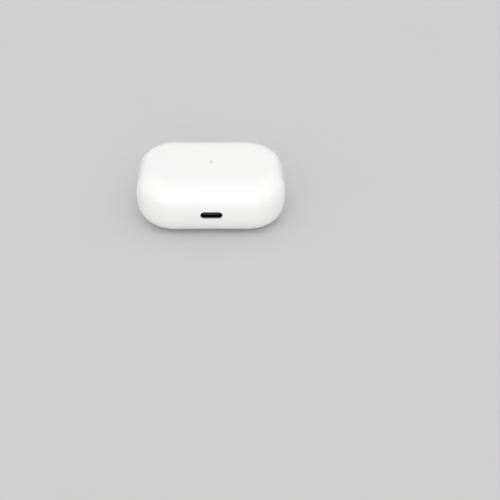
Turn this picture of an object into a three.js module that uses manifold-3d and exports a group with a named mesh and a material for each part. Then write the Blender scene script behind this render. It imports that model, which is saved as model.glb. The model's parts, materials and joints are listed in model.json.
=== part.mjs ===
// A wireless earbuds case: a pebble-shaped charging case with a hinged lid.
//
// Frame, in millimetres: the case lies on its back. X runs across it, Y runs from the charging
// port to the lid's end, and Z runs from the flat back up to the front face. The origin is on the
// back face, under the middle of the case.

import * as THREE from 'three';
import { mergeVertices } from 'three/addons/utils/BufferGeometryUtils.js';
import Module from 'manifold-3d';

const wasm = await Module();
wasm.setup();

// ---------------------------------------------------------------- driving dimensions

const CASE = { width: 60.6, height: 45.2, depth: 21.7 };
const MID_Z = CASE.depth / 2;
const BOTTOM_Y = -CASE.height / 2;
const CORNER_RADIUS = 16;
const CORNER_POWER = 2.1; // superellipse power of the outline's corners, 2 being a circle
const EDGE_POWER = 2.6; // and of the rounding from the outline to the flat faces
const CORNER_STEPS = 10;
const EDGE_STEPS = 7;
const WALL = 1.4;
const INNER_BACK = WALL; // height of the back wall's inner face
const INNER_FRONT = CASE.depth - WALL;
const FIT_GAP = 0.25; // between a shell and what is fitted inside it
const REST_GAP = 0.01; // between two pieces that touch

const SEAM_Y = 8.5; // the lid starts here
const SEAM_GAP = 0.06;

// The hinge axis runs along X through the back wall, so the seam turns round a bead there.
const HINGE = {
  z: 0.5, bead: 0.7, groove: 0.8, pin: 0.3, bore: 0.34,
  halfLength: 12, lidHalf: 7, bodyStart: 7.2, slack: 0.1, webDepth: 1, webStart: 0.05, setBack: 0.02,
};
const LEAF = {
  bottom: 1.45, top: 1.95, bodyStart: 0.95, bodyEnd: 2.7, lidStart: 0.6, lidEnd: 13, lidHalf: 9,
  sideRoom: 0.4, topRoom: 0.3,
};
const COVER = { lowY: 4.7, highY: 7.7, depth: 0.45, recess: 0.5, corner: 0.6, gap: 0.08 };

const SCREW = { shaft: 0.4, hole: 0.5, head: 0.8, headHeight: 0.4, length: 0.9 };
const BODY_SCREW = { x: 8, y: 3.7 };
const LID_SCREW = { x: 5.5, y: 11.9 };

const TRAY = { top: 8.3, bottom: 6.1 };
const LINER = { mouth: 8.75, back: 10.6 };
const HEAD = { x: 13.3, halfX: 8.3, halfZ: 6.9, bowlEnd: 0, domeEnd: 18, skin: 0.8, power: 2.6 };
const STEM = { x: 9.5, radius: 3.5, skin: 0.7, floorY: -13.5, floor: 0.9 };

const PIN = {
  spread: 1.5, radius: 0.5, hole: 0.65, bore: 0.85, reach: 0.9, tip: 0.33, tipSlope: 0.08, shoulder: 0.3,
  collar: 0.72, collarTop: -1, collarBottom: -1.5, tail: 0.45, tailEnd: -1.9,
};
const BLOCK = { width: 6.6, top: -14.45, bottom: -17.1, depth: 5.8, boreEnd: -16.7 };

const PORT = {
  width: 8.8, height: 3.2, shellWidth: 8.7, shellHeight: 2.9, wall: 0.2, baseGap: 0.05,
  mouthY: -22.15, backY: -15.6, tongueWidth: 6.7, tongue: 0.7, tongueY: -21.5, baseY: -17.2,
};
const PORT_SEAL = { width: 10.6, height: 4.6, gap: 0.05, frontY: -20.9, backY: -20.25 };
const PORT_SCREW = { shaft: 0.5, length: 2.2, head: 1, headHeight: 0.5 };
const POST = { x: 7, y: -19, radius: 1.2, top: 12.45, hole: 0.6, depth: 2.4 };
const BRACKET = { halfX: 8.4, lowY: -20.2, highY: -17.8, bottom: 12.5, top: 12.9 };

const BUTTON = {
  y: -6.5, radius: 2.4, hole: 2.52, face: 0.08, chamfer: 0.15, flange: 3.1, flangeBottom: 1.8,
  flangeTop: 2.2, foot: 0.9, footTop: 2.6,
};
const GASKET = { bottom: 1.43, top: 1.75, inner: 2.6 };
const SWITCH = { size: 3, bottom: 2.9, top: 3.6 };
const COIL = { inner: 4.6, outer: 8.8, bottom: 1.8, top: 2.2 };
const FERRITE = { inner: 4.3, outer: 9.4, bottom: 2.3, top: 2.6 };
const LEAD = { // the coil's lead, drawn through these places
  radius: 0.4,
  steps: 14,
  through: [[4.6, -13.2, 3.15], [9, -15.9, 3.4], [14.9, -17, 6], [15.2, -17, 11], [14.4, -16.7, 15.4],
    [12.1, -15.8, 16.45]],
};

const LIGHT = {
  radius: 0.45, hole: 0.5, face: 0.03, foot: 0.6, footBottom: 18.4, collar: 0.85, collarBottom: 19.5,
};
const BOARD = { halfX: 12, lowY: -17, highY: -3, neckHalf: 3.7, neckY: 5.4, bottom: 17, top: 17.7 };
const CELL = {
  x: 19.25, y: -9.2, width: 9.5, length: 12, bottom: 5.6, depth: 10.5, bevel: 0.6, corner: 0.8,
};

// Flat flexible cables. Each route is in [z, y], but a battery tab's is in [x, z].
const FLEX = 0.15;
const UNDER_BOARD = BOARD.bottom - 0.3;
const BEHIND_BLOCK = BLOCK.bottom - 0.2;
const BEHIND_PORT = PORT.backY + 0.8;
const ON_SWITCH = SWITCH.top + 0.15;
const CABLES = {
  contact: { width: 4, route: [[MID_Z - 2, BEHIND_BLOCK], [15.6, BEHIND_BLOCK], [UNDER_BOARD, -16]] },
  port: { width: 6, route: [[10.9, PORT.backY + 0.15], [10.9, BEHIND_PORT], [UNDER_BOARD, BEHIND_PORT]] },
  button: { width: 3.4, route: [[ON_SWITCH, BUTTON.y - 2], [ON_SWITCH, 1.5], [UNDER_BOARD, 1.5]] },
  tab: { width: 3, y: -6, route: [[17, 16.3], [13, 16.3], [11.4, 16.8]] },
};

const HOLD_MAGNET = { width: 2.4, length: 2, depth: 6, bodyAt: [24.9, 4.6], lidAt: [24.6, 12.1] };
const BUD_MAGNET = { width: 5, length: 1.2, depth: 5, at: [17.5, -2] };
const SENSE_MAGNET = { width: 3, length: 1.6, depth: 2, at: [0, 11.8, 17] };
const MAGNET_CORNER = 0.3;

// ---------------------------------------------------------------- solids

// The closed solid that a geometry bounds.
function toSolid(geometry) {
  const bare = geometry.index ? geometry.toNonIndexed() : geometry.clone();
  bare.deleteAttribute('normal');
  bare.deleteAttribute('uv');
  const merged = mergeVertices(bare, 1e-4);
  const corners = merged.index.array;
  const kept = [];
  for (let i = 0; i < corners.length; i += 3) {
    const [a, b, c] = [corners[i], corners[i + 1], corners[i + 2]];
    if (a !== b && b !== c && c !== a) kept.push(a, b, c);
  }
  return new wasm.Manifold(new wasm.Mesh({
    numProp: 3,
    vertProperties: new Float32Array(merged.attributes.position.array),
    triVerts: new Uint32Array(kept),
  }));
}

function toGeometry(solid) {
  const mesh = solid.getMesh();
  const geometry = new THREE.BufferGeometry();
  geometry.setAttribute('position', new THREE.BufferAttribute(mesh.vertProperties.slice(), 3));
  geometry.setIndex(new THREE.BufferAttribute(mesh.triVerts.slice(), 1));
  geometry.computeVertexNormals();
  return geometry;
}

const join = (first, ...rest) => rest.reduce((sum, solid) => sum.add(solid), first);
const cut = (first, ...rest) => rest.reduce((left, solid) => left.subtract(solid), first);

// A box from its lowest to its highest corner.
function boxGeometry([x0, y0, z0], [x1, y1, z1]) {
  return new THREE.BoxGeometry(x1 - x0, y1 - y0, z1 - z0)
    .translate((x0 + x1) / 2, (y0 + y1) / 2, (z0 + z1) / 2);
}
const box = (low, high) => toSolid(boxGeometry(low, high));

// Round bars along each axis, from one coordinate to another.
function barX(radius, x0, x1, y, z, sides = 20) {
  return toSolid(new THREE.CylinderGeometry(radius, radius, x1 - x0, sides)
    .rotateZ(Math.PI / 2).translate((x0 + x1) / 2, y, z));
}
function barY(radius, y0, y1, x, z, sides = 24) {
  return toSolid(new THREE.CylinderGeometry(radius, radius, y1 - y0, sides)
    .translate(x, (y0 + y1) / 2, z));
}
function barZ(radius, z0, z1, x, y, sides = 24) {
  return toSolid(new THREE.CylinderGeometry(radius, radius, z1 - z0, sides)
    .rotateX(Math.PI / 2).translate(x, y, (z0 + z1) / 2));
}

// A closed skin through a stack of rings that have the same number of points.
function loft(rings) {
  const count = rings[0].length;
  const points = rings.flat();
  const faces = [];
  for (let r = 0; r + 1 < rings.length; r += 1) {
    for (let i = 0; i < count; i += 1) {
      const a = r * count + i;
      const b = r * count + (i + 1) % count;
      faces.push(a, b, b + count, a, b + count, a + count);
    }
  }
  const middle = (ring) => ring.reduce((sum, p) => sum.add(p), new THREE.Vector3()).divideScalar(count);
  const first = points.push(middle(rings[0])) - 1;
  const last = points.push(middle(rings.at(-1))) - 1;
  const top = (rings.length - 1) * count;
  for (let i = 0; i < count; i += 1) {
    const next = (i + 1) % count;
    faces.push(first, next, i, last, top + i, top + next);
  }
  const geometry = new THREE.BufferGeometry().setFromPoints(points);
  geometry.setIndex(faces);
  geometry.computeVertexNormals();
  return geometry;
}

// The outline seen from the front: straight sides joined by superelliptic corners.
function outline(halfX, halfY, radius) {
  const points = [];
  [[1, 1], [-1, 1], [-1, -1], [1, -1]].forEach(([signX, signY], quadrant) => {
    for (let k = 0; k <= CORNER_STEPS; k += 1) {
      const step = quadrant % 2 ? CORNER_STEPS - k : k;
      const angle = (step / CORNER_STEPS) * (Math.PI / 2);
      points.push(new THREE.Vector2(
        signX * (halfX - radius + radius * Math.cos(angle) ** (2 / CORNER_POWER)),
        signY * (halfY - radius + radius * Math.sin(angle) ** (2 / CORNER_POWER)),
      ));
    }
  });
  return points;
}

// The whole pebble, drawn in all round by an inset.
function pebble(inset) {
  const half = MID_Z - inset;
  const rings = [];
  for (let i = -EDGE_STEPS; i <= EDGE_STEPS; i += 1) {
    const angle = (Math.abs(i) / EDGE_STEPS) * (Math.PI / 2);
    const z = MID_Z + Math.sign(i) * half * Math.sin(angle) ** (2 / EDGE_POWER);
    const drawnIn = inset + half * (1 - Math.cos(angle) ** (2 / EDGE_POWER));
    const ring = outline(CASE.width / 2 - drawnIn, CASE.height / 2 - drawnIn, CORNER_RADIUS - drawnIn);
    rings.push(ring.map((p) => new THREE.Vector3(p.x, p.y, z)));
  }
  return toSolid(loft(rings));
}

// A rounded pocket for an earbud's head, from its mouth at one Y to its closed end at another.
function headPocket(x, mouthY, endY, grow) {
  const sides = 24;
  const rings = [0, 0.4, 0.68, 0.86, 0.96, 1].map((along) => {
    const narrowing = Math.max(1 - along ** HEAD.power, 0.004) ** (1 / HEAD.power);
    return Array.from({ length: sides }, (_, i) => {
      const angle = (i / sides) * 2 * Math.PI;
      return new THREE.Vector3(
        x + (HEAD.halfX + grow) * narrowing * Math.cos(angle),
        mouthY + (endY - mouthY) * along,
        MID_Z + (HEAD.halfZ + grow) * narrowing * Math.sin(angle),
      );
    });
  });
  return toSolid(loft(endY > mouthY ? rings.reverse() : rings));
}

// A flat oblong with round ends.
function oblong(width, height) {
  const r = height / 2;
  const shape = new THREE.Shape();
  shape.absarc(width / 2 - r, 0, r, -Math.PI / 2, Math.PI / 2, false);
  shape.absarc(r - width / 2, 0, r, Math.PI / 2, 1.5 * Math.PI, false);
  return shape;
}

function roundedRectangle(width, height, radius) {
  const [x, y, r] = [width / 2, height / 2, radius];
  const shape = new THREE.Shape();
  shape.absarc(x - r, y - r, r, 0, Math.PI / 2, false);
  shape.absarc(r - x, y - r, r, Math.PI / 2, Math.PI, false);
  shape.absarc(r - x, r - y, r, Math.PI, 1.5 * Math.PI, false);
  shape.absarc(x - r, r - y, r, 1.5 * Math.PI, 2 * Math.PI, false);
  return shape;
}

function extrude(shape, depth, curveSegments = 6) {
  return new THREE.ExtrudeGeometry(shape, { depth, curveSegments, bevelEnabled: false });
}

// A shape drawn in X and Z, drawn out along Y.
function alongY(shape, y0, y1) {
  return extrude(shape, y1 - y0).rotateX(Math.PI / 2).translate(0, y1, MID_Z);
}

// A flat flexible cable: a bent line of [u, v] points, given a thickness and a width.
function ribbon(points, width) {
  const line = points.map(([u, v]) => new THREE.Vector2(u, v));
  const legs = line.slice(1).map((point, i) => point.clone().sub(line[i]).normalize());
  const offsets = line.map((_, i) => {
    const into = legs[Math.max(i - 1, 0)];
    const out = legs[Math.min(i, legs.length - 1)];
    const along = into.clone().add(out).normalize();
    return new THREE.Vector2(-along.y, along.x).multiplyScalar(FLEX / 2 / along.dot(out));
  });
  const left = line.map((point, i) => point.clone().add(offsets[i]));
  const right = line.map((point, i) => point.clone().sub(offsets[i])).reverse();
  return extrude(new THREE.Shape([...left, ...right]), width).translate(0, 0, -width / 2);
}

// A turned piece about Z, from a closed profile of [radius, height] points.
function turned(profile, segments = 28) {
  return new THREE.LatheGeometry(profile.map(([r, h]) => new THREE.Vector2(r, h)), segments)
    .rotateX(Math.PI / 2);
}
const washer = (inner, outer, low, high) => turned(
  [[inner, low], [outer, low], [outer, high], [inner, high], [inner, low]],
);

// ---------------------------------------------------------------- materials

const finish = (color, roughness, metalness = 0) => () => (
  new THREE.MeshStandardMaterial({ color, roughness, metalness })
);
const glossWhite = finish(0xf4f4f2, 0.12);
const satinWhite = finish(0xe9e9e6, 0.4);
const steel = finish(0xc4c6c8, 0.28, 1);
const darkPlastic = finish(0x1c1c1e, 0.5);
const rubber = finish(0x2a2a2b, 0.85);
const greenBoard = finish(0x14532f, 0.5);
const amberFlex = finish(0xb5651d, 0.45);
const copper = finish(0xb87333, 0.35, 1);
const gold = finish(0xd4af37, 0.25, 1);
const nickel = finish(0xb9b5ab, 0.3, 1);
const ferrite = finish(0x333336, 0.75);
const cellWrap = finish(0x3b3f46, 0.45);
const frosted = finish(0xdfe6df, 0.3);

// ---------------------------------------------------------------- assembly

const earbudsCase = new THREE.Group();
const body = new THREE.Group();
const lid = new THREE.Group();
earbudsCase.add(body, lid);

function add(group, name, shape, material, [x, y, z] = [0, 0, 0]) {
  const mesh = new THREE.Mesh(shape.isBufferGeometry ? shape : toGeometry(shape), material());
  mesh.name = name;
  mesh.position.set(x, y, z);
  group.add(mesh);
  return mesh;
}

const SIDES = [['left', -1], ['right', 1]];
const FAR = 60; // well outside the case
const OVER = 1; // how far a cutter passes a face
const outerPebble = pebble(0);
const hollow = pebble(WALL);
const lining = pebble(WALL + FIT_GAP);
const slab = (y0, y1) => box([-FAR, y0, -FAR], [FAR, y1, FAR]);
const belowSeam = slab(-FAR, SEAM_Y - SEAM_GAP / 2);
const aboveSeam = slab(SEAM_Y + SEAM_GAP / 2, FAR);

// ---------------------------------------------------------------- hinge

// One knuckle and the web that carries it inward to its leaf. side is 1 on the lid, -1 on the body.
function knuckle(x0, x1, side) {
  const barrel = barX(HINGE.bead, x0, x1, SEAM_Y, HINGE.z).intersect(
    box([x0 - 1, SEAM_Y - 2, HINGE.setBack], [x1 + 1, SEAM_Y + 2, LEAF.top]),
  );
  const ends = [SEAM_Y + side * HINGE.webStart, SEAM_Y + side * HINGE.webDepth].sort((a, b) => a - b);
  return barrel.add(box([x0, ends[0], HINGE.z], [x1, ends[1], LEAF.top]));
}

// The room that a knuckle needs in the wall around it.
function knuckleRoom(x0, x1, side) {
  const { slack, groove, webDepth } = HINGE;
  const ends = [SEAM_Y, SEAM_Y + side * (webDepth + slack)].sort((a, b) => a - b);
  return barX(groove, x0 - slack, x1 + slack, SEAM_Y, HINGE.z)
    .add(box([x0 - slack, ends[0], HINGE.z], [x1 + slack, ends[1], LEAF.top]));
}

const hingeBore = barX(HINGE.bore, -FAR, FAR, SEAM_Y, HINGE.z);
const screwHole = (x, y) => (
  barZ(SCREW.hole, INNER_BACK - SCREW.length - 5 * REST_GAP, LEAF.top + OVER, x, y, 16)
);

const bodyLeaf = join(
  box(
    [-HINGE.halfLength, LEAF.bodyEnd, LEAF.bottom],
    [HINGE.halfLength, SEAM_Y - LEAF.bodyStart, LEAF.top],
  ),
  knuckle(-HINGE.halfLength, -HINGE.bodyStart, -1),
  knuckle(HINGE.bodyStart, HINGE.halfLength, -1),
);
const lidLeaf = join(
  box(
    [-LEAF.lidHalf, SEAM_Y + LEAF.lidStart, LEAF.bottom + HINGE.setBack],
    [LEAF.lidHalf, LEAF.lidEnd, LEAF.top],
  ),
  knuckle(-HINGE.lidHalf, HINGE.lidHalf, 1),
);
add(body, 'hinge_body_leaf', cut(
  bodyLeaf, hingeBore, ...SIDES.map(([, s]) => screwHole(s * BODY_SCREW.x, BODY_SCREW.y)),
), steel);
add(lid, 'hinge_lid_leaf', cut(
  lidLeaf, hingeBore, ...SIDES.map(([, s]) => screwHole(s * LID_SCREW.x, LID_SCREW.y)),
), steel);
add(body, 'hinge_pin', barX(HINGE.pin, -HINGE.halfLength, HINGE.halfLength, SEAM_Y, HINGE.z), steel);
add(body, 'hinge_cover', extrude(
  roundedRectangle(2 * HINGE.halfLength, COVER.highY - COVER.lowY, COVER.corner),
  COVER.depth - HINGE.setBack,
  4,
), steel, [0, (COVER.lowY + COVER.highY) / 2, HINGE.setBack]);

// A small pan-head screw whose head rests on Z = 0 and whose shaft points down.
function screw(shaft, length, head, height) {
  return turned([[0, -length], [shaft, -length], [shaft, 0], [head, 0], [head, height * 0.6],
    [head * 0.8, height], [0, height]], 12);
}
SIDES.forEach(([label, s]) => {
  const length = LEAF.top - INNER_BACK + SCREW.length;
  const shape = () => screw(SCREW.shaft, length, SCREW.head, SCREW.headHeight);
  const z = LEAF.top + REST_GAP;
  add(body, `hinge_body_screw_${label}`, shape(), steel, [s * BODY_SCREW.x, BODY_SCREW.y, z]);
  add(lid, `hinge_lid_screw_${label}`, shape(), steel, [s * LID_SCREW.x, LID_SCREW.y, z]);
});

// ---------------------------------------------------------------- outer shells

const posts = SIDES.map(([, s]) => barZ(POST.radius, INNER_BACK, POST.top, s * POST.x, POST.y)
  .intersect(outerPebble));
const bead = barX(HINGE.bead, -CASE.width / 2, CASE.width / 2, SEAM_Y, HINGE.z).intersect(outerPebble);
add(body, 'body_shell', cut(
  join(cut(outerPebble.intersect(belowSeam).add(bead), hollow), ...posts),
  knuckleRoom(-HINGE.halfLength, -HINGE.bodyStart, -1),
  knuckleRoom(HINGE.bodyStart, HINGE.halfLength, -1),
  barX(HINGE.groove, -HINGE.halfLength, HINGE.halfLength, SEAM_Y, HINGE.z),
  toSolid(extrude(roundedRectangle(
    2 * (HINGE.halfLength + COVER.gap), COVER.highY - COVER.lowY + 2 * COVER.gap, COVER.corner + COVER.gap,
  ), COVER.recess + OVER, 4).translate(0, (COVER.lowY + COVER.highY) / 2, -OVER)),
  ...SIDES.map(([, s]) => screwHole(s * BODY_SCREW.x, BODY_SCREW.y)),
  ...SIDES.map(([, s]) => barZ(POST.hole, POST.top - POST.depth, POST.top + OVER, s * POST.x, POST.y, 16)),
  toSolid(alongY(oblong(PORT.width, PORT.height), BOTTOM_Y - OVER, BOTTOM_Y + 2 * WALL)),
  barZ(BUTTON.hole, -OVER, INNER_BACK + REST_GAP, 0, BUTTON.y, 28),
  barZ(LIGHT.hole, INNER_FRONT - OVER, CASE.depth + OVER, 0, 0, 16),
), glossWhite);

add(lid, 'lid_shell', cut(
  outerPebble.intersect(aboveSeam),
  hollow,
  barX(HINGE.groove, -CASE.width / 2, CASE.width / 2, SEAM_Y, HINGE.z),
  knuckleRoom(-HINGE.lidHalf, HINGE.lidHalf, 1),
  ...SIDES.map(([, s]) => screwHole(s * LID_SCREW.x, LID_SCREW.y)),
), glossWhite);

// ---------------------------------------------------------------- tray and lid lining

const leafRoom = (half) => (
  box([-half - LEAF.sideRoom, -FAR, -FAR], [half + LEAF.sideRoom, FAR, LEAF.top + LEAF.topRoom])
);
const wellEnd = STEM.floorY - STEM.floor;

const wellSkins = SIDES.flatMap(([, s]) => [
  headPocket(s * HEAD.x, TRAY.bottom + OVER, HEAD.bowlEnd - HEAD.skin, HEAD.skin),
  barY(STEM.radius + STEM.skin, wellEnd, TRAY.bottom + OVER, s * STEM.x, MID_Z),
]);
const wells = SIDES.flatMap(([, s]) => [
  headPocket(s * HEAD.x, TRAY.top + OVER, HEAD.bowlEnd, 0),
  barY(STEM.radius, STEM.floorY, TRAY.top + OVER, s * STEM.x, MID_Z),
  ...[-1, 1].map((t) => (
    barY(PIN.hole, wellEnd - OVER, STEM.floorY + OVER, s * STEM.x, MID_Z + t * PIN.spread, 16)
  )),
]);
add(body, 'bud_tray', cut(
  join(lining.intersect(slab(TRAY.bottom, TRAY.top)), ...wellSkins.map((skin) => skin.intersect(lining))),
  leafRoom(HINGE.halfLength),
  ...wells,
), satinWhite);

const domeSkins = SIDES.map(([, s]) => (
  headPocket(s * HEAD.x, LINER.back - OVER, HEAD.domeEnd + HEAD.skin, HEAD.skin).intersect(lining)
));
add(lid, 'lid_liner', cut(
  join(lining.intersect(slab(LINER.mouth, LINER.back)), ...domeSkins),
  leafRoom(LEAF.lidHalf),
  ...SIDES.map(([, s]) => headPocket(s * HEAD.x, LINER.mouth - OVER, HEAD.domeEnd, 0)),
), satinWhite);

// ---------------------------------------------------------------- charging contacts under the wells

// A sprung pin that points up the well. Its origin is at the middle of the well's floor.
const pinProfile = [
  [0, PIN.tailEnd], [PIN.tail, PIN.tailEnd], [PIN.tail, PIN.collarBottom],
  [PIN.collar, PIN.collarBottom], [PIN.collar, PIN.collarTop], [PIN.radius, PIN.collarTop],
  [PIN.radius, PIN.reach - PIN.shoulder], [PIN.tip, PIN.reach - PIN.tipSlope], [0, PIN.reach],
].map(([r, h]) => new THREE.Vector2(r, h));
SIDES.forEach(([label, s]) => {
  const low = [s * STEM.x - BLOCK.width / 2, BLOCK.bottom, MID_Z - BLOCK.depth / 2];
  const high = [s * STEM.x + BLOCK.width / 2, BLOCK.top, MID_Z + BLOCK.depth / 2];
  add(body, `contact_block_${label}`, cut(box(low, high), ...[-1, 1].map((t) => (
    barY(PIN.bore, BLOCK.boreEnd, BLOCK.top + OVER, s * STEM.x, MID_Z + t * PIN.spread, 20)
  ))), darkPlastic);
  [['back', -1], ['front', 1]].forEach(([place, t]) => {
    add(earbudsCase, `contact_pin_${label}_${place}`, new THREE.LatheGeometry(pinProfile, 14), gold, [
      s * STEM.x, STEM.floorY, MID_Z + t * PIN.spread,
    ]);
  });
  const flex = ribbon(CABLES.contact.route, CABLES.contact.width).rotateY(-Math.PI / 2);
  add(body, `contact_flex_${label}`, flex, amberFlex, [s * STEM.x, 0, 0]);
});

// ---------------------------------------------------------------- charging port

const shellTube = oblong(PORT.shellWidth, PORT.shellHeight);
const insideShell = (gap) => (
  oblong(PORT.shellWidth - 2 * (PORT.wall + gap), PORT.shellHeight - 2 * (PORT.wall + gap))
);
shellTube.holes.push(insideShell(0));
add(body, 'port_shell', alongY(shellTube, PORT.mouthY, PORT.backY), steel);
add(body, 'port_tongue', join(
  toSolid(alongY(insideShell(PORT.baseGap), PORT.baseY, PORT.backY)),
  box(
    [-PORT.tongueWidth / 2, PORT.tongueY, MID_Z - PORT.tongue / 2],
    [PORT.tongueWidth / 2, PORT.baseY + PORT.wall, MID_Z + PORT.tongue / 2],
  ),
), darkPlastic);
const sealRing = oblong(PORT_SEAL.width, PORT_SEAL.height);
sealRing.holes.push(
  oblong(PORT.shellWidth + 2 * PORT_SEAL.gap, PORT.shellHeight + 2 * PORT_SEAL.gap),
);
add(body, 'port_gasket', alongY(sealRing, PORT_SEAL.frontY, PORT_SEAL.backY), rubber);
add(body, 'port_bracket', cut(
  box([-BRACKET.halfX, BRACKET.lowY, BRACKET.bottom], [BRACKET.halfX, BRACKET.highY, BRACKET.top]),
  ...SIDES.map(([, s]) => (
    barZ(POST.hole, BRACKET.bottom - OVER, BRACKET.top + OVER, s * POST.x, POST.y, 16)
  )),
), steel);
SIDES.forEach(([label, s]) => {
  add(body, `port_screw_${label}`, screw(
    PORT_SCREW.shaft, PORT_SCREW.length, PORT_SCREW.head, PORT_SCREW.headHeight,
  ), steel, [s * POST.x, POST.y, BRACKET.top + REST_GAP]);
});
add(body, 'port_flex', ribbon(CABLES.port.route, CABLES.port.width).rotateY(-Math.PI / 2), amberFlex);

// ---------------------------------------------------------------- pairing button

const onButton = [0, BUTTON.y, 0];
add(earbudsCase, 'pairing_button', turned([
  [0, BUTTON.face], [BUTTON.radius - BUTTON.chamfer, BUTTON.face],
  [BUTTON.radius, BUTTON.face + BUTTON.chamfer], [BUTTON.radius, BUTTON.flangeBottom],
  [BUTTON.flange, BUTTON.flangeBottom], [BUTTON.flange, BUTTON.flangeTop],
  [BUTTON.foot, BUTTON.flangeTop], [BUTTON.foot, BUTTON.footTop], [0, BUTTON.footTop],
]), glossWhite, onButton);
add(body, 'button_gasket', washer(
  GASKET.inner, BUTTON.flange, GASKET.bottom, GASKET.top,
), rubber, onButton);
add(body, 'pairing_switch', boxGeometry(
  [-SWITCH.size / 2, -SWITCH.size / 2, SWITCH.bottom], [SWITCH.size / 2, SWITCH.size / 2, SWITCH.top],
), nickel, onButton);
add(body, 'button_flex', ribbon(CABLES.button.route, CABLES.button.width)
  .rotateY(-Math.PI / 2), amberFlex);

// ---------------------------------------------------------------- wireless charging coil

add(body, 'charging_coil', washer(COIL.inner, COIL.outer, COIL.bottom, COIL.top), copper, onButton);
add(body, 'ferrite_sheet', washer(
  FERRITE.inner, FERRITE.outer, FERRITE.bottom, FERRITE.top,
), ferrite, onButton);
const leadPath = new THREE.CatmullRomCurve3(LEAD.through.map((place) => new THREE.Vector3(...place)));
const leadSection = new THREE.Shape().absarc(0, 0, LEAD.radius, 0, 2 * Math.PI, false);
add(body, 'coil_lead', new THREE.ExtrudeGeometry(leadSection, {
  extrudePath: leadPath, steps: LEAD.steps, curveSegments: 4, bevelEnabled: false,
}), copper);

// ---------------------------------------------------------------- board, light and cells

const boardShape = new THREE.Shape([[-BOARD.halfX, BOARD.lowY], [BOARD.halfX, BOARD.lowY],
  [BOARD.halfX, BOARD.highY], [BOARD.neckHalf, BOARD.highY], [BOARD.neckHalf, BOARD.neckY],
  [-BOARD.neckHalf, BOARD.neckY], [-BOARD.neckHalf, BOARD.highY], [-BOARD.halfX, BOARD.highY],
].map(([x, y]) => new THREE.Vector2(x, y)));
add(body, 'main_board', extrude(boardShape, BOARD.top - BOARD.bottom), greenBoard, [0, 0, BOARD.bottom]);

// What stands on the board: name, width, length, height, x, y.
[
  ['charge_controller', 9, 7, 1.1, -5.5, -8.5, nickel],
  ['microcontroller', 5, 5, 0.8, 5.2, -7, darkPlastic],
  ['board_inductor', 2.6, 2.2, 1.3, 6, -13, ferrite],
  ['battery_connector', 5.6, 1.8, 0.9, -5, -15, darkPlastic],
  ['hall_sensor', 1.6, 1.2, 0.5, 0, 4.2, darkPlastic],
  ['status_led', 1.6, 0.9, 0.55, 0, 0, frosted],
].forEach(([name, width, length, height, x, y, material]) => {
  const shape = new THREE.BoxGeometry(width, length, height);
  add(body, name, shape, material, [x, y, BOARD.top + 2 * REST_GAP + height / 2]);
});

const pipeNeck = INNER_FRONT - 5 * REST_GAP;
const pipeFace = CASE.depth - LIGHT.face;
add(body, 'status_light_pipe', turned([
  [0, LIGHT.footBottom], [LIGHT.foot, LIGHT.footBottom], [LIGHT.foot, LIGHT.collarBottom],
  [LIGHT.collar, LIGHT.collarBottom], [LIGHT.collar, pipeNeck], [LIGHT.radius, pipeNeck],
  [LIGHT.radius, pipeFace], [0, pipeFace],
], 20), frosted);

SIDES.forEach(([label, s]) => {
  const { bevel } = CELL;
  const face = roundedRectangle(CELL.width - 2 * bevel, CELL.length - 2 * bevel, CELL.corner);
  const cell = new THREE.ExtrudeGeometry(face, {
    depth: CELL.depth - 2 * bevel,
    curveSegments: 3,
    bevelSize: bevel,
    bevelThickness: bevel,
    bevelSegments: 1,
  });
  add(body, `battery_${label}`, cell, cellWrap, [s * CELL.x, CELL.y, CELL.bottom + bevel]);
  const tab = ribbon(CABLES.tab.route.map(([x, z]) => [s * x, z]), CABLES.tab.width);
  add(body, `battery_tab_${label}`, tab.rotateX(Math.PI / 2), amberFlex, [0, CABLES.tab.y, 0]);
});

// ---------------------------------------------------------------- magnets

const magnet = ({ width, length, depth }) => (
  extrude(roundedRectangle(width, length, MAGNET_CORNER), depth, 3).translate(0, 0, -depth / 2)
);
SIDES.forEach(([label, s]) => {
  const place = ([x, y]) => [s * x, y, MID_Z];
  add(body, `body_magnet_${label}`, magnet(HOLD_MAGNET), nickel, place(HOLD_MAGNET.bodyAt));
  add(lid, `lid_magnet_${label}`, magnet(HOLD_MAGNET), nickel, place(HOLD_MAGNET.lidAt));
  add(body, `bud_magnet_${label}`, magnet(BUD_MAGNET), nickel, place(BUD_MAGNET.at));
});
add(lid, 'sense_magnet', magnet(SENSE_MAGNET), nickel, SENSE_MAGNET.at);

export default earbudsCase;
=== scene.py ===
"""Looks of a wireless earbuds case: smooth shells, moulded lining, turned metal and studio light.

Sizes are in millimetres in this script and become metres when a mesh is made. The frame is the
CAD frame: the case lies on its back, X across, Y from the charging port to the lid, Z up.
"""
import json
import math

import bmesh
import bpy
import numpy as np
from mathutils import Matrix, Vector

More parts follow.
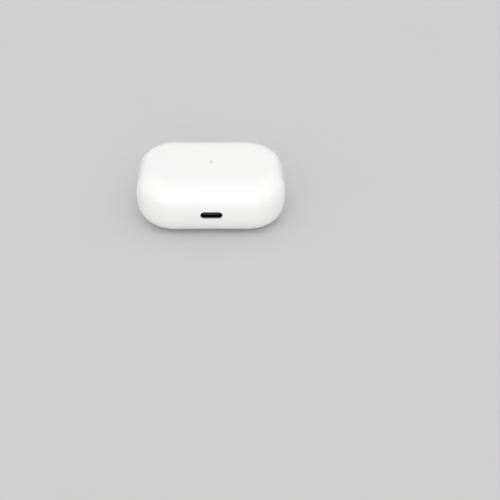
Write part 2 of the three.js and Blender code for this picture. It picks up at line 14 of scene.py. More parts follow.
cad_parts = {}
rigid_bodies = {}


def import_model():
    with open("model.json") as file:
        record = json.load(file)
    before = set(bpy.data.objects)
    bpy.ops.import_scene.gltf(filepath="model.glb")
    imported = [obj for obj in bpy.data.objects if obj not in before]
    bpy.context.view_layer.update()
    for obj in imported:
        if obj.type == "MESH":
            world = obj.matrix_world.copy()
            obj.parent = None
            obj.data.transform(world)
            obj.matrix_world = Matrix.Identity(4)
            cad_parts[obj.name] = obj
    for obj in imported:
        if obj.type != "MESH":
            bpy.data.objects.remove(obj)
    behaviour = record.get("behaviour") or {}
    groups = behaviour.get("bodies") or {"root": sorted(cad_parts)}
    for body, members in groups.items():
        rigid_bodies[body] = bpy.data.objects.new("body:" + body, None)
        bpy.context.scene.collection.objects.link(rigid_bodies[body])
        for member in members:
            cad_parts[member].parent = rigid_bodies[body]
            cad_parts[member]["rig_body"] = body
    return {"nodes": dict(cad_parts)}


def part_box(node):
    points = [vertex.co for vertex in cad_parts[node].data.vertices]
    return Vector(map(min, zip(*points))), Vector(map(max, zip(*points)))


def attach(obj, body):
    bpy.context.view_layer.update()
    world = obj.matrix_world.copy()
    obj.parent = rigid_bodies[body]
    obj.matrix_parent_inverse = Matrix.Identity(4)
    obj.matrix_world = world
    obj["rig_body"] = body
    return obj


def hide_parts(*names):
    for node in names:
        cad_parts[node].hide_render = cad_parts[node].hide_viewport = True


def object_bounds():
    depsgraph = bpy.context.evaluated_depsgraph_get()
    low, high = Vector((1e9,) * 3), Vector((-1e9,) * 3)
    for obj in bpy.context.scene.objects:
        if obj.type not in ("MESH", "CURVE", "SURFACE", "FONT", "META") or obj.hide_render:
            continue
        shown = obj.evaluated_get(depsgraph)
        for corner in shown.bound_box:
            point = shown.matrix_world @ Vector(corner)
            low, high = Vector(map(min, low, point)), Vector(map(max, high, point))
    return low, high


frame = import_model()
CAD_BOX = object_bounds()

MM = 0.001
HALF_X, HALF_Y, HALF_Z = [(high - low) / 2 / MM for low, high in zip(*CAD_BOX)]
MID_Z = HALF_Z

# The pebble, as the CAD draws it.
CORNER_RADIUS = 16.0
CORNER_POWER = 2.1
EDGE_POWER = 2.6
WALL = 1.4
LINING_INSET = 1.65
SEAM_Y = 8.5
SEAM_GAP = 0.06
SEAM_FILLET = 0.1

# The hinge axis runs along X through the back wall, and the seam turns round a bead there.
HINGE_Z = 0.5
BEAD = 0.7
GROOVE = 0.8
HINGE_HALF = 12.0
LID_KNUCKLE_HALF = 7.0
BODY_KNUCKLE_START = 7.2
SLACK = 0.1
WEB = 1.0

HINGE_PIN = 0.3
HINGE_BORE = 0.34

# The leaves of the hinge, and the place and hole of their screws.
LEAF_LOW = 1.45
LEAF_TOP = 1.95
LID_LEAF_LIFT = 0.02
LID_LEAF_HALF = 9.0
LID_LEAF_END = 13.0
BODY_LEAF_GAP = 0.95
LID_LEAF_GAP = 0.6
BODY_SCREW = (8.0, 3.7)
LID_SCREW = (5.5, 11.9)
LEAF_HOLE = 0.5
COVER_CORNER = 0.6
COVER_ROOM = 0.06
COVER_DEPTH = 0.5

# The tray and the lid's lining: their body, the Y of their near and far faces, of the mouth and the end
# of their head pockets, and half the width that the hinge's leaves need clear, up to LEAF_ROOM.
LININGS = {
    "bud_tray": ("case_body", 6.1, 8.3, 9.3, 0.0, 12.4),
    "lid_liner": ("lid", 10.6, 8.75, 7.75, 18.0, 9.4),
}
LEAF_ROOM = 2.25

# The earbuds' pockets: a rounded bowl for the head and a round well for the stem.
HEAD_X = 13.3
HEAD_HALF_X = 8.3
HEAD_HALF_Z = 6.9
HEAD_POWER = 2.6
HEAD_SKIN = 0.8
HEAD_LIP = 0.55
LINING_EDGE = 0.3
STEM_X = 9.5
STEM_RADIUS = 3.5
STEM_SKIN = 0.7
STEM_FLOOR = -13.5
STEM_FILLET = 0.6

# The sprung contacts: their holes through the stem wells' floors, their own steps and their blocks' bores.
PIN_SPREAD = 1.5
PIN_HOLE = 0.65
PIN_HOLE_MOUTH = 0.77
PIN_RADIUS = 0.45
PIN_TIP = 0.5
COLLAR = 0.72
COLLAR_LOW = -15.0
COLLAR_TOP = -14.5
BLOCK_BORE = 0.85
BLOCK_BORE_MOUTH = 0.97
BLOCK_BORE_END = -16.7
BLOCK_TOP = -14.45

# The charging port. Its mouth is wider and higher than the port's shell by PORT_ROOM.
PORT_ROOM = (0.1, 0.3)
PORT_WALL = 0.2
PORT_LIP = 0.1
PORT_CUT = 3.0
SEAL_WALL = 0.87
TONGUE_HALF = 3.35
TONGUE_THICK = 0.7
TONGUE_BACK = -17.0
TONGUE_BASE = -17.2
CONTACTS = 12
CONTACT_PITCH = 0.5
CONTACT_HALF = 0.12
CONTACT_ENDS = (-21.1, -18.4)
CONTACT_PROUD = 0.02
POST_X = 7.0
POST_Y = -19.0
POST_RADIUS = 1.2
POST_TOP = 12.45
POST_HOLE = 0.6

# The pairing button, its dished face as (radius, depth), and the rings round it: inner and outer radius,
# lowest and highest Z.
BUTTON_RADIUS = 2.4
BUTTON_HOLE = 2.52
FLANGE = 3.1
FLANGE_LOW = 1.8
FLANGE_TOP = 2.2
BUTTON_FOOT = 0.9
BUTTON_DISH = ((0.01, 0.07), (1.5, 0.05), (2.05, 0.0))
BUTTON_SEAL = (2.6, 3.1, 1.43, 1.75)
COIL = (4.6, 8.8, 1.8, 2.2)
COIL_TURNS = 14
FERRITE_RING = (4.3, 9.4, 2.3, 2.6)

# The light guide's steps, as (radius, Z where the step starts), and the hole that it shows through.
GUIDE_FOOT = 0.6
GUIDE_COLLAR = (0.85, 19.5)
GUIDE_TIP = (0.45, 20.25)
LIGHT_HOLE = 0.5

# The flexible strips: their thickness, the radius of their bends, and where they run.
FLEX = 0.15
FLEX_BEND = 0.7
UNDER_BOARD = 16.7
BEHIND_BLOCK = -17.3
BEHIND_PORT = -14.8

# The coil's lead: the points it passes through, its wires' radius and their turns round each other.
LEAD = (
    (4.6, -13.2, 3.15), (9, -15.9, 3.4), (14.9, -17, 6), (15.2, -17, 11), (14.4, -16.7, 15.4),
    (12.1, -15.8, 16.45),
)
LEAD_STEPS = 14
WIRE = 0.19
WIRE_TURNS = 9

# The board's outline is a T whose stem points to the lid.
BOARD_STEM_HALF = 3.7
BOARD_ARM_Y = -3
BOARD_CORNER = 0.8

# Screws: the radius of the shaft and of the head, and a slot name, which is passed on but not used: every
# screw gets the plated screw steel.
SCREWS = {"port": (0.5, 1.0, "port_steel"), "hinge": (0.4, 0.8, "hinge_steel")}
THREAD = 0.2

CORNER_STEPS = 20
LEVEL_STEPS = 22

BODY_OF = {name: node["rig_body"] for name, node in frame["nodes"].items()}


def node_box(node):
    """Lowest and highest corner of a CAD node, in millimetres."""
    low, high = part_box(node)
    return low / MM, high / MM


# ------------------------------------------------------------------ materials

def node_tree(name):
    """A new material with its Principled shader, and a function that adds nodes to it."""
    material = bpy.data.materials.new(name)
    material.use_nodes = True
    tree = material.node_tree
    shader = tree.nodes["Principled BSDF"]

    def add(kind, **values):
        node = tree.nodes.new(kind)
        for key, value in values.items():
            if key in node.inputs:
                node.inputs[key].default_value = value
            else:
                setattr(node, key, value)
        return node

    return material, tree.links, shader, add


def ramp(add, links, source, low, high, start=0.35, end=0.65):
    """Turns a 0 to 1 value into a mix of two colours."""
    node = add("ShaderNodeValToRGB")
    node.color_ramp.elements[0].position = start
    node.color_ramp.elements[0].color = (*low, 1)
    node.color_ramp.elements[1].position = end
    node.color_ramp.elements[1].color = (*high, 1)
    links.new(source, node.inputs["Fac"])
    return node.outputs["Color"]


def span(add, links, source, low, high):
    """Maps 0..1 to low..high."""
    node = add("ShaderNodeMapRange")
    node.inputs["To Min"].default_value = low
    node.inputs["To Max"].default_value = high
    links.new(source, node.inputs["Value"])
    return node.outputs["Result"]


def surface(
    name, color, dark, rough, metallic=0.0, grain=400.0, grain_height=0.0,
    stretch=(1, 1, 1), coat=0.0, coat_rough=0.05, specular=0.5, blotch=60.0,
):
    """A surface whose colour drifts from color to dark, with a grain and a band of roughness.

    blotch and grain are the scales of the two noises, and stretch draws the grain out along an axis.
    """
    material, links, shader, add = node_tree(name)
    place = add("ShaderNodeTexCoord").outputs["Object"]
    stretched = add("ShaderNodeMapping")
    stretched.inputs["Scale"].default_value = stretch
    links.new(place, stretched.inputs["Vector"])
    drift = add("ShaderNodeTexNoise", Scale=blotch, Detail=4.0, Roughness=0.55)
    links.new(place, drift.inputs["Vector"])
    links.new(ramp(add, links, drift.outputs["Fac"], dark, color), shader.inputs["Base Color"])
    fine = add("ShaderNodeTexNoise", Scale=grain, Detail=6.0, Roughness=0.6)
    links.new(stretched.outputs["Vector"], fine.inputs["Vector"])
    links.new(span(add, links, fine.outputs["Fac"], *rough), shader.inputs["Roughness"])
    shader.inputs["Metallic"].default_value = metallic
    shader.inputs["Coat Weight"].default_value = coat
    shader.inputs["Coat Roughness"].default_value = coat_rough
    shader.inputs["Specular IOR Level"].default_value = specular
    if grain_height:
        bump = add("ShaderNodeBump", Strength=1.0, Distance=grain_height * MM)
        links.new(fine.outputs["Fac"], bump.inputs["Height"])
        links.new(bump.outputs["Normal"], shader.inputs["Normal"])
    return material


def brushed(name, color, dark, rough, along="X", height=0.004):
    """Metal with a brushed grain that runs along one axis."""
    stretch = {"X": (0.04, 1, 1), "Y": (1, 0.04, 1), "Z": (1, 1, 0.04)}[along]
    return surface(
        name, color, dark, rough, metallic=1.0, grain=9000.0, grain_height=height, stretch=stretch,
    )


SHELL = surface(
    "gloss_white_shell", (0.90, 0.90, 0.895), (0.885, 0.885, 0.88), (0.16, 0.22),
    grain=700.0, grain_height=0.0015, coat=0.6, coat_rough=0.09, blotch=35.0,
)
LINING = surface(
    "satin_white_lining", (0.86, 0.86, 0.85), (0.83, 0.83, 0.82), (0.26, 0.38),
    grain=5200.0, grain_height=0.004, coat=0.15, coat_rough=0.2,
)
HINGE_STEEL = brushed("brushed_hinge_steel", (0.66, 0.665, 0.67), (0.56, 0.565, 0.57), (0.2, 0.34))
PIN_STEEL = brushed("ground_pin_steel", (0.6, 0.6, 0.61), (0.5, 0.5, 0.51), (0.18, 0.3))
PORT_STEEL = brushed("drawn_port_steel", (0.3, 0.3, 0.31), (0.23, 0.23, 0.24), (0.24, 0.36), "Y", 0.0015)
SCREW_STEEL = surface(
    "plated_screw_steel", (0.5, 0.5, 0.51), (0.4, 0.4, 0.41), (0.25, 0.4), metallic=1.0,
    grain=3000.0, grain_height=0.003,
)
BLACK_PLASTIC = surface(
    "black_moulded_plastic", (0.02, 0.02, 0.022), (0.012, 0.012, 0.013), (0.35, 0.55),
    grain=6000.0, grain_height=0.006,
)
RUBBER = surface(
    "black_silicone", (0.028, 0.028, 0.029), (0.018, 0.018, 0.018), (0.6, 0.8),
    grain=4500.0, grain_height=0.01,
)
AMBER = surface(
    "amber_flex_film", (0.5, 0.2, 0.045), (0.4, 0.15, 0.03), (0.2, 0.34),
    grain=2500.0, grain_height=0.004, stretch=(1, 1, 0.1), coat=0.3, coat_rough=0.15,
)
COPPER = surface(
    "enamelled_copper", (0.76, 0.37, 0.18), (0.6, 0.26, 0.11), (0.2, 0.32), metallic=1.0,
    grain=2500.0, grain_height=0.004, coat=0.5, coat_rough=0.1,
)
GOLD = surface(
    "gold_plate", (0.95, 0.7, 0.3), (0.85, 0.6, 0.24), (0.12, 0.25), metallic=1.0,
    grain=3500.0, grain_height=0.002,
)
NICKEL = surface(
    "nickel_plate", (0.66, 0.64, 0.6), (0.56, 0.545, 0.51), (0.18, 0.3), metallic=1.0,
    grain=2600.0, grain_height=0.003,
)
FERRITE = surface(
    "sintered_ferrite", (0.06, 0.06, 0.063), (0.035, 0.035, 0.037), (0.55, 0.75),
    grain=5200.0, grain_height=0.012,
)
FOIL = surface(
    "laminated_cell_foil", (0.2, 0.21, 0.235), (0.14, 0.148, 0.168), (0.25, 0.42), metallic=0.6,
    grain=1800.0, grain_height=0.02,
)
BOARD = surface(
    "green_solder_mask", (0.016, 0.14, 0.06), (0.01, 0.095, 0.04), (0.22, 0.36),
    grain=1500.0, grain_height=0.008, coat=0.4, coat_rough=0.1, blotch=400.0,
)
LIGHT_GUIDE = surface(
    "frosted_light_guide", (0.42, 0.47, 0.42), (0.33, 0.38, 0.33), (0.25, 0.4),
    grain=5000.0, grain_height=0.003, coat=0.4, coat_rough=0.1,
)


# ------------------------------------------------------------------ mesh tools

def piece(name, points, faces, body, material, slot, replaces=(), smooth=35.0):
    """A mesh object in the row frame from points in millimetres."""
    mesh = bpy.data.meshes.new(name)
    mesh.from_pydata([Vector(p) * MM for p in points], [], faces)
    return finish_piece(name, mesh, body, material, replaces, smooth)


def finish_piece(name, mesh, body, material, replaces=(), smooth=35.0):
    tidy = bmesh.new()
    tidy.from_mesh(mesh)
    bmesh.ops.remove_doubles(tidy, verts=tidy.verts, dist=1e-7)
    bmesh.ops.recalc_face_normals(tidy, faces=tidy.faces)
    tidy.to_mesh(mesh)
    tidy.free()
    mesh.shade_smooth()
    mesh.set_sharp_from_angle(angle=math.radians(smooth))
    obj = bpy.data.objects.new(name, mesh)
    bpy.context.scene.collection.objects.link(obj)
    mesh.materials.append(material)
    if body:
        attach(obj, body)
    if replaces:
        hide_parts(*replaces)
    return obj


def apply_modifiers(obj):
    graph = bpy.context.evaluated_depsgraph_get()
    graph.update()
    mesh = bpy.data.meshes.new_from_object(obj.evaluated_get(graph))
    obj.modifiers.clear()
    obj.data = mesh


def even_shading(obj, sharp=35.0):
    """Smooth shading that keeps broad flat faces flat."""
    obj.data.shade_smooth()
    obj.data.set_sharp_from_angle(angle=math.radians(sharp))
    weigh = obj.modifiers.new("shading", "WEIGHTED_NORMAL")
    weigh.keep_sharp = True
    apply_modifiers(obj)


def soften(obj, width, segments=2):
    """Rounds every sharp edge of an object by a small width."""
    bevel = obj.modifiers.new("edges", "BEVEL")
    bevel.width = width * MM
    bevel.segments = segments
    bevel.limit_method = "ANGLE"
    bevel.angle_limit = math.radians(38)
    apply_modifiers(obj)


def loft(rings, wrap=False):
    """Points and faces of a skin through a stack of rings: capped, or joined from the last to the first."""
    count = len(rings[0])
    points = [p for ring in rings for p in ring]
    faces = []
    for r in range(len(rings) - (0 if wrap else 1)):
        for i in range(count):
            a, b = r * count + i, r * count + (i + 1) % count
            above = count if r + 1 < len(rings) else -r * count
            faces.append((a, b, b + above, a + above))
    if not wrap:
        faces.append(tuple(reversed(range(count))))
        faces.append(tuple(range(len(points) - count, len(points))))
    return points, faces


def cutter(points, faces):
    """A bare mesh object to cut with, in the row frame."""
    mesh = bpy.data.meshes.new("cutter")
    mesh.from_pydata([Vector(p) * MM for p in points], [], faces)
    tidy = bmesh.new()
    tidy.from_mesh(mesh)
    bmesh.ops.recalc_face_normals(tidy, faces=tidy.faces)
    tidy.to_mesh(mesh)
    tidy.free()
    obj = bpy.data.objects.new("cutter", mesh)
    bpy.context.scene.collection.objects.link(obj)
    return obj


def combine(base, tools, operation="DIFFERENCE"):
    """Applies each tool to the base object's mesh, and removes the tools."""
    for tool in tools:
        modifier = base.modifiers.new("cut", "BOOLEAN")
        modifier.operation = operation
        modifier.solver = "EXACT"
        modifier.object = tool
    apply_modifiers(base)
    for tool in tools:
        bpy.data.objects.remove(tool)
    return base


def box_points(low, high):
    (x0, y0, z0), (x1, y1, z1) = low, high
    points = [(x, y, z) for x in (x0, x1) for y in (y0, y1) for z in (z0, z1)]
    faces = [(0, 1, 3, 2), (4, 6, 7, 5), (0, 4, 5, 1), (2, 3, 7, 6), (0, 2, 6, 4), (1, 5, 7, 3)]
    return points, faces


def rounded_profile(corners, radius, steps=4):
    """A polyline whose inner corners are rounded, each as far as its legs allow."""
    out = [Vector(corners[0])]
    for before, here, after in zip(corners, corners[1:], corners[2:]):
        here, before, after = Vector(here), Vector(before), Vector(after)
        reach = min(radius, (here - before).length * 0.45, (after - here).length * 0.45)
        start = here + (before - here).normalized() * reach
        end = here + (after - here).normalized() * reach
        for k in range(steps + 1):
            t = k / steps
            out.append(start * (1 - t) ** 2 + here * 2 * t * (1 - t) + end * t ** 2)
    out.append(Vector(corners[-1]))
    return [tuple(p) for p in out]


AXES = {
    "X": lambda r, a, h: (h, r * math.cos(a), r * math.sin(a)),
    "Y": lambda r, a, h: (r * math.sin(a), h, r * math.cos(a)),
    "Z": lambda r, a, h: (r * math.cos(a), r * math.sin(a), h),
}


def turned(profile, centre, axis="Z", sides=64, wrap=False):
    """A solid of revolution from (radius, height) points; with wrap the profile is a closed loop."""
    shift = Vector(centre)
    return loft([
        [shift + Vector(AXES[axis](r, 2 * math.pi * k / sides, h)) for k in range(sides)]
        for r, h in profile if r > 0
    ], wrap)


def rounded_loop(corners, radius, steps=3):
    """A closed polyline with rounded corners."""
    (u, v), (s, t) = corners[-1], corners[0]
    start = ((u + s) / 2, (v + t) / 2)
    return rounded_profile([start, *corners, start], radius, steps)[:-1]


def washer(inner, outer, low, high, edge, centre, sides=96):
    corners = [(inner, low), (outer, low), (outer, high), (inner, high)]
    return turned(rounded_loop(corners, edge), centre, "Z", sides, wrap=True)


def oblong(width, height, steps=14):
    """Outline of a flat oblong with round ends, anticlockwise."""
    r, reach = height / 2, width / 2 - height / 2
    points = []
    for side, start in ((1, -90), (-1, 90)):
        for k in range(steps + 1):
            angle = math.radians(start + 180 * k / steps)
            points.append((side * reach + r * math.cos(angle), r * math.sin(angle)))
    return points


def rounded_rectangle(width, height, radius, steps=6):
    points = []
    for quadrant, (sx, sy) in enumerate(((1, 1), (-1, 1), (-1, -1), (1, -1))):
        for k in range(steps + 1):
            angle = math.radians(90 * quadrant + 90 * k / steps)
            points.append((
                sx * (width / 2 - radius) + radius * math.cos(angle),
                sy * (height / 2 - radius) + radius * math.sin(angle),
            ))
    return points


def edged_prism(outline, low, high, edge, steps=3):
    """Rings of an outline function between two heights, with rounded rims. outline(grow) gives the loop."""
    rings = []
    for k in range(steps + 1):
        angle = math.pi / 2 * k / steps
        rings.append((-edge * (1 - math.sin(angle)), low + edge * (1 - math.cos(angle))))
    rings += [(grow, low + high - z) for grow, z in reversed(rings)]
    return [(outline(grow), z) for grow, z in rings]


def along_z(rings, x=0.0, y=0.0):
    return loft([[(x + u, y + v, z) for u, v in ring] for ring, z in rings])


def along_y(rings, x=0.0, z=0.0):
    return loft([[(x + u, y, z + v) for u, v in ring] for ring, y in rings])


def bevelled_box(low, high, radius, segments=3):
    """Points and faces of a box with round edges."""
    work = bmesh.new()
    points, faces = box_points(low, high)
    corners = [work.verts.new(p) for p in points]
    for face in faces:
        work.faces.new([corners[i] for i in face])
    bmesh.ops.bevel(
        work, geom=list(work.edges), offset=radius, segments=segments, profile=0.5, affect="EDGES",
    )
    work.verts.index_update()
    result = [v.co.copy() for v in work.verts], [tuple(v.index for v in f.verts) for f in work.faces]
    work.free()
    return result


# ------------------------------------------------------------------ the pebble

def corner_arc(radius, start, end, steps):
    """Offsets from the corner's centre along its superelliptic arc, between two angles."""
    arc = []
    for k in range(steps + 1):
        angle = start + (end - start) * k / steps
        arc.append((
            radius * max(math.cos(angle), 0.0) ** (2 / CORNER_POWER),
            radius * max(math.sin(angle), 0.0) ** (2 / CORNER_POWER),
        ))
    return arc


def outline_part(inset, seam, side):
    """The outline from one end of the seam to the other: over the lid if side is 1, else round the body."""
    cx, cy = HALF_X - CORNER_RADIUS, HALF_Y - CORNER_RADIUS
    radius = CORNER_RADIUS - inset
    rise = min(max((seam - cy) / radius, 0.0), 1.0)
    start = math.asin(rise ** (CORNER_POWER / 2))
    quarter = math.pi / 2
    half = []
    if side > 0:
        half += [(cx + u, cy + v) for u, v in corner_arc(radius, start, quarter, CORNER_STEPS)]
        half += [(cx * (1 - k / 7), cy + radius) for k in range(1, 8)]
        return half + [(-x, y) for x, y in reversed(half[:-1])]
    half += [(cx + u, cy + v) for u, v in corner_arc(radius, start, 0.0, 5)]
    half += [(cx + radius, cy * (1 - 2 * k / 8)) for k in range(1, 8)]
    half += [(cx + u, -cy - v) for u, v in corner_arc(radius, 0.0, quarter, CORNER_STEPS)]
    half += [(cx * (1 - k / 7), -cy - radius) for k in range(1, 8)]
    return half + [(-x, y) for x, y in reversed(half[:-1])]


def levels(half):
    """(height from the middle, inset) from the back to the front, closer together near the back's bead."""
    angles = [math.pi / 2 * k / LEVEL_STEPS for k in range(LEVEL_STEPS + 1)]
    rows = [
        (half * math.sin(a) ** (2 / EDGE_POWER), half * (1 - max(math.cos(a), 0.0) ** (2 / EDGE_POWER)))
        for a in angles
    ]
    return [(-z, d) for z, d in reversed(rows[1:])] + rows


def seam_at(z, side, round_bead):
    """Where the seam is at a height: straight, but round the hinge bead in the back wall."""
    radius = (BEAD if side < 0 else GROOVE) if round_bead else 0.0
    away = z - HINGE_Z
    bulge = math.sqrt(max(radius ** 2 - away ** 2, 0.0))
    return SEAM_Y + max(bulge, side * SEAM_GAP / 2) if bulge else SEAM_Y + side * SEAM_GAP / 2


def skin(inset, side, back_trim):
    """A half pebble's skin as a grid of points: a row for each level, with the flat faces as more rows.

    back_trim(z) says how far the skin stops short of the seam at a height.
    """
    half = HALF_Z - inset
    rows = []
    for height, drawn in levels(half):
        z = MID_Z + height
        seam = seam_at(z, side, inset == 0) + side * back_trim(z)
        rows.append([(x, y, z) for x, y in outline_part(inset + drawn, seam, side)])
    fill = 5

    def flat_rows(edge):
        (x0, y0, z), (x1, _, _) = edge[0], edge[-1]
        count = len(edge) - 1
        return [
            [
                (
                    x + (x0 + (x1 - x0) * j / count - x) * k / fill,
                    y + (y0 - y) * k / fill,
                    z,
                )
                for j, (x, y, _) in enumerate(edge)
            ]
            for k in range(1, fill + 1)
        ]

    return list(reversed(flat_rows(rows[0]))) + rows + flat_rows(rows[-1])


def rim_loop(grid):
    """The seam edge of a skin: along the back, up one side, along the front and down the other."""
    right = [row[0] for row in grid]
    left = [row[-1] for row in grid]
    return list(reversed(grid[0]))[:-1] + right[:-1] + grid[-1][:-1] + list(reversed(left))[:-1]


def inset_at(x, y):
    """How far inside the outline a point is."""
    dx, dy = abs(x) - (HALF_X - CORNER_RADIUS), abs(y) - (HALF_Y - CORNER_RADIUS)
    if dx <= 0 or dy <= 0:
        return CORNER_RADIUS - max(dx, dy)
    return CORNER_RADIUS - (dx ** CORNER_POWER + dy ** CORNER_POWER) ** (1 / CORNER_POWER)


def field(x, y, z):
    """Zero on the pebble's surface and rising outward."""
    side = max(1 - inset_at(x, y) / HALF_Z, 0.0)
    return side ** EDGE_POWER + abs((z - MID_Z) / HALF_Z) ** EDGE_POWER - 1


def outward(x, y, z):
    """The pebble's own normal at a point of its surface."""
    step = 1e-3
    slope = Vector((
        field(x + step, y, z) - field(x - step, y, z),
        field(x, y + step, z) - field(x, y - step, z),
        field(x, y, z + step) - field(x, y, z - step),
    ))
    return slope.normalized()


def half_shell(side):
    """A closed half of the shell: outer skin, inner skin and the rounded rim that joins them."""
    def fillet(z):
        return SEAM_FILLET * min(max((z - HINGE_Z - GROOVE) / 0.6, 0.0), 1.0)

    outer = skin(0.0, side, fillet)
    edge = rim_loop(skin(0.0, side, lambda z: 0.0))
    inner = skin(WALL, side, lambda z: 0.0)
    points, faces = [], []

    def add_grid(grid, flip):
        start = len(points)
        width = len(grid[0])
        points.extend(p for row in grid for p in row)
        for r in range(len(grid) - 1):
            for i in range(width - 1):
                a = start + r * width + i
                quad = (a, a + 1, a + 1 + width, a + width)
                faces.append(quad[::-1] if flip else quad)

    add_grid(outer, False)
    add_grid(inner, True)
    strips = [rim_loop(outer)]
    away = Vector((0, -side, 0))
    turns = 4
    for k in range(1, turns + 1):
        angle = math.pi / 2 * k / turns
        strip = []
        for (x, y, z) in edge:
            normal = outward(x, y, z)
            normal.y = 0
            normal.normalize()
            r = fillet(z)
            centre = Vector((x, y, z)) - normal * r - away * r
            strip.append(tuple(centre + normal * r * math.cos(angle) + away * r * math.sin(angle)))
        strips.append(strip)
    strips.append(bead_strip(edge, inner, side, 0.34))
    strips.append(bead_strip(edge, inner, side, 0.67))
    strips.append(bead_strip(edge, inner, side, 1.0))
    strips.append(rim_loop(inner))
    count = len(edge)
    for lower, upper in zip(strips, strips[1:]):
        start = len(points)
        points.extend(lower)
        points.extend(upper)
        for i in range(count):
            j = (i + 1) % count
            faces.append((start + i, start + j, start + count + j, start + count + i))
    return points, faces


def bead_strip(edge, inner, side, share):
    """The rim's next loop: round the hinge bead where the edge is on it, straight inward elsewhere."""
    radius = BEAD if side < 0 else GROOVE
    strip = []
    for (x, y, z), (u, v, w) in zip(edge, rim_loop(inner)):
        if z < HINGE_Z + radius:
            angle = math.asin(min(max((z - HINGE_Z) / radius, -1.0), 1.0))
            angle += (math.pi / 2 - 0.05 - angle) * share
            strip.append((x, SEAM_Y + radius * math.cos(angle), HINGE_Z + radius * math.sin(angle)))
        else:
            t = 0.25 + 0.5 * share
            strip.append((x + (u - x) * t, y + (v - y) * t, z + (w - z) * t))
    return strip


def true_normals(obj):
    """Gives the corners that lie on the pebble's outer surface the pebble's own normals."""
    mesh = obj.data
    normals = [Vector(n.vector) for n in mesh.corner_normals]
    exact = {}
    for vertex in mesh.vertices:
        x, y, z = vertex.co / MM
        if abs(field(x, y, z)) < 2e-3:
            exact[vertex.index] = outward(x, y, z)
    for polygon in mesh.polygons:
        for loop in polygon.loop_indices:
            normal = exact.get(mesh.loops[loop].vertex_index)
            if normal is not None and normal.dot(polygon.normal) > 0.93:
                normals[loop] = normal
    mesh.normals_split_custom_set([tuple(n) for n in normals])


def flared(shape, low, high, flare, mouth, steps=5):
    """Rings of a cutter that opens out into a rounded mouth at one height. shape(grow) gives the loop."""
    toward = 1 if mouth == high else -1
    rings = [(0.0, low if toward > 0 else high)]
    for k in range(steps + 1):
        angle = math.pi / 2 * k / steps
        rings.append((flare * (1 - math.cos(angle)), mouth - toward * flare * (1 - math.sin(angle))))
    rings.append((flare, mouth + toward * 0.5))
    return [(shape(grow), height) for grow, height in rings]


def circle(radius, sides=48):
    turns = [2 * math.pi * k / sides for k in range(sides)]
    return lambda grow: [
        ((radius + grow) * math.cos(turn), (radius + grow) * math.sin(turn)) for turn in turns
    ]


def rod(radius, low, high, centre, axis="Z", sides=32):
    """A plain round bar between two places along an axis."""
    return turned([(0, low), (radius, low), (radius, high), (0, high)], centre, axis, sides)


def plate_outline(low, high, corner, steps=6, room=0.0):
    """A box's outline seen from above, with rounded corners, and with room round it for a recess."""
    return lambda grow: rounded_rectangle(
        high.x - low.x + 2 * (room + grow), high.y - low.y + 2 * (room + grow), corner + room + grow, steps,
    )


def plate(node, corner, steps, edge, rim_steps=3):
    """A node's box with its corners rounded seen from above, and its rims rounded too."""
    low, high = node_box(node)
    outline = plate_outline(low, high, corner, steps)
    return along_z(edged_prism(outline, low.z, high.z, edge, rim_steps), *middle(node).xy)


def knuckle_room(x0, x1, side):
    """Cutters that clear the wall round a hinge knuckle between two places along the axis."""
    ends = sorted((SEAM_Y, SEAM_Y + side * (WEB + SLACK)))
    bar = rod(GROOVE, x0 - SLACK, x1 + SLACK, (0, SEAM_Y, HINGE_Z), "X", 40)
    slot = box_points((x0 - SLACK, ends[0], HINGE_Z), (x1 + SLACK, ends[1], WALL + 0.6))
    return [cutter(*bar), cutter(*slot)]


def screw_post(x, y):
    """A post that stands on the back wall's inside, wherever the wall's rounding puts that."""
    half = HALF_Z - WALL / 2
    foot, ring = [], circle(POST_RADIUS, 40)(0)
    for u, v in ring:
        depth = min(max(inset_at(x + u, y + v) - WALL / 2, 0.0), half)
        foot.append((x + u, y + v, MID_Z - half * (1 - (1 - depth / half) ** EDGE_POWER) ** (1 / EDGE_POWER)))
    return loft([foot, [(x + u, y + v, POST_TOP) for u, v in ring]])


